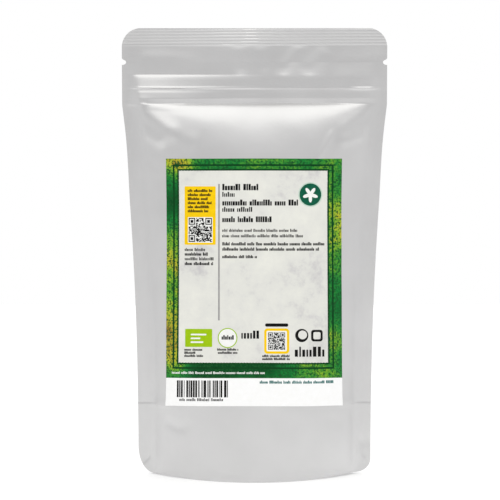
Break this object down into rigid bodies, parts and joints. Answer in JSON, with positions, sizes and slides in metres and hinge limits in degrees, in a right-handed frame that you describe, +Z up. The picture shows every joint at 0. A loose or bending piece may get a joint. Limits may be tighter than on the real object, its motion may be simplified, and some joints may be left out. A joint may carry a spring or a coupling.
{
  "type": "filled stand-up zip pouch of cardamom pods",
  "caption": "Sealed stand-up pouch of silver film, with a press-to-close zip, a bottom gusset and a plain label, filled with whole spice pods.",
  "frame": {"origin": "bottom centre of the standing pouch, on the surface it stands on, in the plane of its side seals", "axes": "+Z up along the pouch's height, +X along its width, -Y out of the labelled front"},
  "size_m": [0.13, 0.048, 0.2215],
  "materials": {
    "film": "satin silver laminate film, slightly creased",
    "zip": "clear to milky polyethylene",
    "label": "printed satin label, off-white panel in a mottled green and yellow border",
    "pods": "dry green ribbed pods"
  },
  "bodies": {
    "root": {"front_film": "film", "back_film": "film", "bottom_gusset": "film", "zip_female": "zip", "zip_male": "zip", "label": "label", "cardamom_fill": "pods"}
  },
  "joints": []
}
